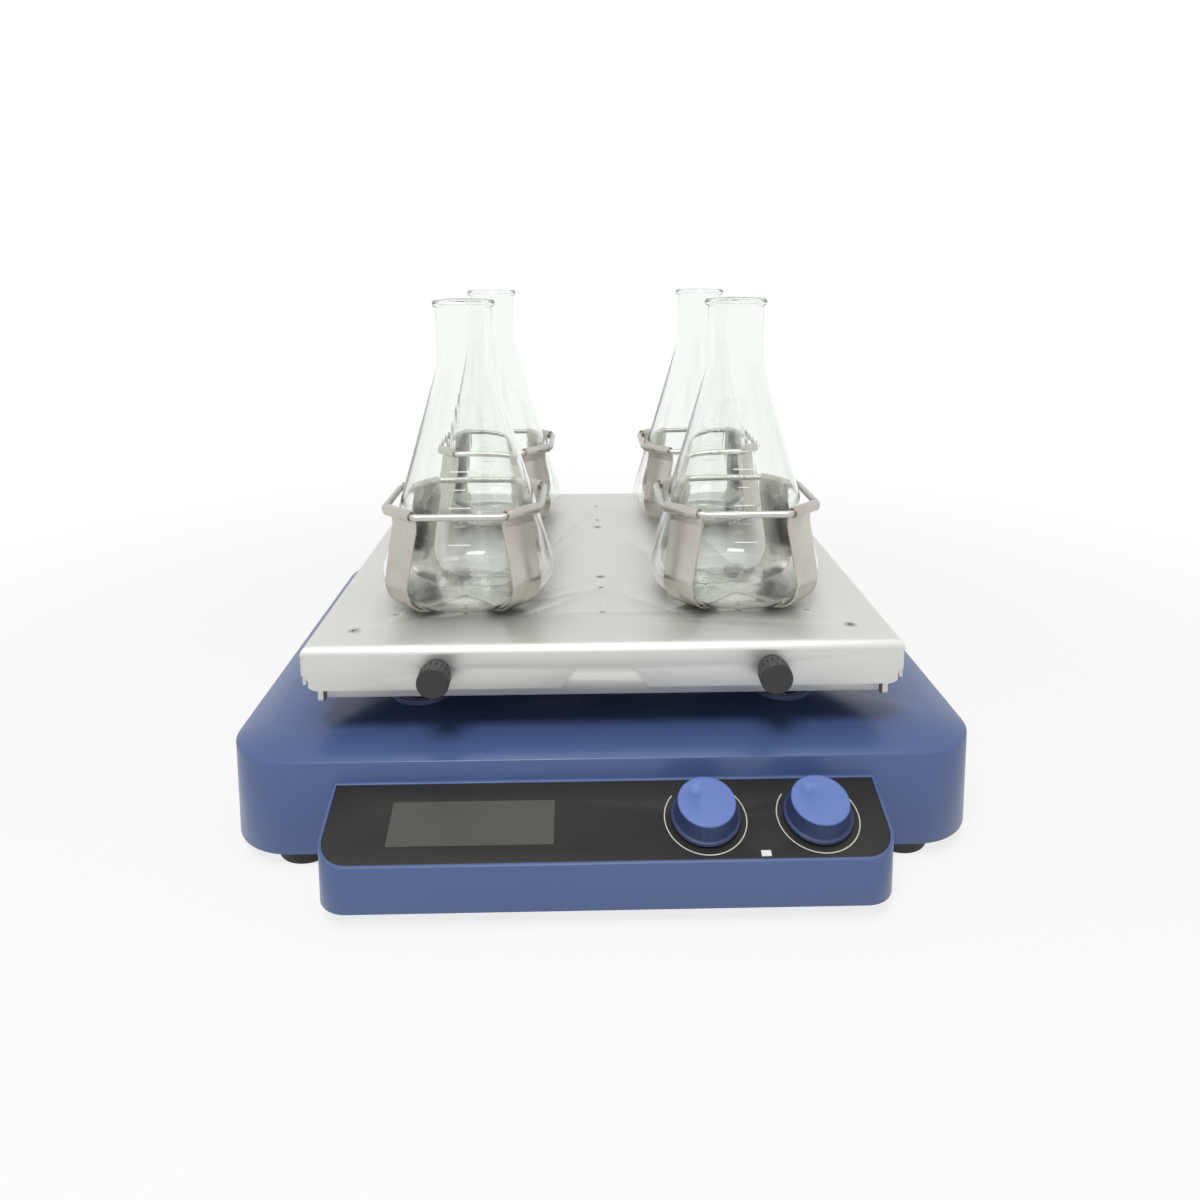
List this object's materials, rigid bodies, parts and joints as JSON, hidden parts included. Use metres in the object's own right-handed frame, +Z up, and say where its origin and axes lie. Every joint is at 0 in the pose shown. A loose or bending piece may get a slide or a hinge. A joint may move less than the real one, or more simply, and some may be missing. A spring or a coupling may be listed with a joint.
{
  "type": "orbital shaker",
  "caption": "Bench-top orbital shaker with a sloping control console, a lift-off clamp tray on a crank drive, and conical flasks held by sprung clamps.",
  "frame": {"origin": "on the bench surface, on the axis of the drive shaft", "axes": "+Z up, -Y towards the operator and the console, +X to the operator's right"},
  "size_m": [0.4247, 0.3885, 0.3078],
  "materials": {
    "housing_paint": "satin",
    "panel_black": "matt",
    "display": "gloss",
    "lens_white": "gloss",
    "knob_blue": "satin",
    "black_plastic": "matt",
    "rubber": "matt",
    "tray_steel": "satin",
    "spring_steel": "polished",
    "glass": "clear",
    "machined_steel": "machined",
    "screw_steel": "bright",
    "aluminium": "machined",
    "plate_paint": "satin",
    "electronics": "matt"
  },
  "bodies": {
    "base": {"base_housing": "housing_paint", "base_plate": "plate_paint", "underside_screws": "screw_steel", "rubber_feet": "rubber", "console_housing": "housing_paint", "control_panel": "panel_black", "display_window": "display", "indicator_lens": "lens_white", "lcd_module": "electronics", "control_board": "electronics", "rotary_encoders": "electronics", "power_supply": "electronics", "power_inlet": "black_plastic", "switch_bezel": "black_plastic", "main_bearing_housing": "aluminium", "idler_bearing_blocks": "aluminium", "base_bearings": "machined_steel", "mechanism_screws": "screw_steel", "motor_mount": "aluminium", "motor_body": "black_plastic", "drive_belt": "rubber"},
    "switch_rocker": {"power_rocker": "black_plastic"},
    "drive": {"drive_shaft": "machined_steel", "drive_pulley": "aluminium", "counterweight": "machined_steel", "counterweight_screws": "screw_steel"},
    "motor_rotor": {"motor_shaft": "machined_steel", "motor_pulley": "aluminium"},
    "platform": {"carrier_plate": "tray_steel", "drive_hub": "aluminium", "idler_hubs": "aluminium", "platform_bearings": "machined_steel", "hub_screws": "screw_steel"},
    "tray": {"clamp_tray": "tray_steel", "locating_studs": "machined_steel", "tray_screws": "screw_steel", "clamp_front_left": "spring_steel", "clamp_front_right": "spring_steel", "clamp_back_left": "spring_steel", "clamp_back_right": "spring_steel", "retaining_spring_front_left": "spring_steel", "retaining_spring_front_right": "spring_steel", "retaining_spring_back_left": "spring_steel", "retaining_spring_back_right": "spring_steel"},
    "idler_front_left": {"idler_crank_front_left": "machined_steel"},
    "idler_front_right": {"idler_crank_front_right": "machined_steel"},
    "idler_back_left": {"idler_crank_back_left": "machined_steel"},
    "idler_back_right": {"idler_crank_back_right": "machined_steel"},
    "flask_front_left": {"flask_front_left": "glass"},
    "flask_front_right": {"flask_front_right": "glass"},
    "flask_back_left": {"flask_back_left": "glass"},
    "flask_back_right": {"flask_back_right": "glass"},
    "thumb_stud_left": {"thumb_stud_left": "machined_steel"},
    "thumb_knob_left": {"thumb_knob_left": "black_plastic"},
    "thumb_stud_right": {"thumb_stud_right": "machined_steel"},
    "thumb_knob_right": {"thumb_knob_right": "black_plastic"},
    "speed_encoder_shaft": {"speed_shaft": "machined_steel"},
    "speed_control": {"speed_knob": "knob_blue"},
    "time_encoder_shaft": {"time_shaft": "machined_steel"},
    "time_control": {"time_knob": "knob_blue"}
  },
  "joints": [
    {"name": "drive_spin", "type": "hinge", "parent": "base", "child": "drive", "pos_m": [0, 0, 0], "axis": [0, 0, 1], "continuous": true},
    {"name": "platform_orbit", "type": "hinge", "parent": "drive", "child": "platform", "pos_m": [0, 0.005, 0], "axis": [0, 0, 1], "continuous": true},
    {"name": "motor_spin", "type": "hinge", "parent": "base", "child": "motor_rotor", "pos_m": [0.112, 0, 0], "axis": [0, 0, 1], "continuous": true},
    {"name": "switch_rock", "type": "hinge", "parent": "base", "child": "switch_rocker", "pos_m": [-0.204, -0.058, 0.041], "axis": [0, 0, 1], "range_deg": [0, 16]},
    {"name": "tray_lift", "type": "slide", "parent": "platform", "child": "tray", "axis": [0, 0, 1], "range_m": [0, 0.06]},
    {"name": "idler_spin_front_left", "type": "hinge", "parent": "base", "child": "idler_front_left", "pos_m": [-0.11, -0.1, 0], "axis": [0, 0, 1], "continuous": true},
    {"name": "idler_spin_front_right", "type": "hinge", "parent": "base", "child": "idler_front_right", "pos_m": [0.11, -0.1, 0], "axis": [0, 0, 1], "continuous": true},
    {"name": "idler_spin_back_left", "type": "hinge", "parent": "base", "child": "idler_back_left", "pos_m": [-0.11, 0.1, 0], "axis": [0, 0, 1], "continuous": true},
    {"name": "idler_spin_back_right", "type": "hinge", "parent": "base", "child": "idler_back_right", "pos_m": [0.11, 0.1, 0], "axis": [0, 0, 1], "continuous": true},
    {"name": "flask_lift_front_left", "type": "slide", "parent": "tray", "child": "flask_front_left", "axis": [0, 0, 1], "range_m": [0, 0.1], "deforming": ["clamp_front_left", "retaining_spring_front_left"]},
    {"name": "flask_lift_front_right", "type": "slide", "parent": "tray", "child": "flask_front_right", "axis": [0, 0, 1], "range_m": [0, 0.1], "deforming": ["clamp_front_right", "retaining_spring_front_right"]},
    {"name": "flask_lift_back_left", "type": "slide", "parent": "tray", "child": "flask_back_left", "axis": [0, 0, 1], "range_m": [0, 0.1], "deforming": ["clamp_back_left", "retaining_spring_back_left"]},
    {"name": "flask_lift_back_right", "type": "slide", "parent": "tray", "child": "flask_back_right", "axis": [0, 0, 1], "range_m": [0, 0.1], "deforming": ["clamp_back_right", "retaining_spring_back_right"]},
    {"name": "thumb_feed_left", "type": "slide", "parent": "platform", "child": "thumb_stud_left", "axis": [0, -1, 0], "range_m": [0, 0.006]},
    {"name": "thumb_turn_left", "type": "hinge", "parent": "thumb_stud_left", "child": "thumb_knob_left", "pos_m": [-0.0913, -0.16, 0.1095], "axis": [0, -1, 0], "range_deg": [0, 2160]},
    {"name": "thumb_feed_right", "type": "slide", "parent": "platform", "child": "thumb_stud_right", "axis": [0, -1, 0], "range_m": [0, 0.006]},
    {"name": "thumb_turn_right", "type": "hinge", "parent": "thumb_stud_right", "child": "thumb_knob_right", "pos_m": [0.0913, -0.16, 0.1095], "axis": [0, -1, 0], "range_deg": [0, 2160]},
    {"name": "speed_turn", "type": "hinge", "parent": "base", "child": "speed_encoder_shaft", "pos_m": [0.0513, -0.19293, 0.04348], "axis": [0, -0.3356, 0.942], "continuous": true},
    {"name": "speed_press", "type": "slide", "parent": "speed_encoder_shaft", "child": "speed_control", "axis": [0, 0.3356, -0.942], "range_m": [0, 0.0008], "stiffness_N_per_m": 1200, "springref_m": -0.0015},
    {"name": "time_turn", "type": "hinge", "parent": "base", "child": "time_encoder_shaft", "pos_m": [0.11, -0.19293, 0.04348], "axis": [0, -0.3356, 0.942], "continuous": true},
    {"name": "time_press", "type": "slide", "parent": "time_encoder_shaft", "child": "time_control", "axis": [0, 0.3356, -0.942], "range_m": [0, 0.0008], "stiffness_N_per_m": 1200, "springref_m": -0.0015}
  ],
  "couplings": [
    {"joint": "platform_orbit", "follows": "drive_spin", "ratio": -1},
    {"joint": "motor_spin", "follows": "drive_spin", "ratio": 3},
    {"joint": "idler_spin_front_left", "follows": "drive_spin", "ratio": 1},
    {"joint": "idler_spin_front_right", "follows": "drive_spin", "ratio": 1},
    {"joint": "idler_spin_back_left", "follows": "drive_spin", "ratio": 1},
    {"joint": "idler_spin_back_right", "follows": "drive_spin", "ratio": 1},
    {"joint": "thumb_turn_left", "follows": "thumb_feed_left", "rad_per_m": 6283},
    {"joint": "thumb_turn_right", "follows": "thumb_feed_right", "rad_per_m": 6283}
  ]
}
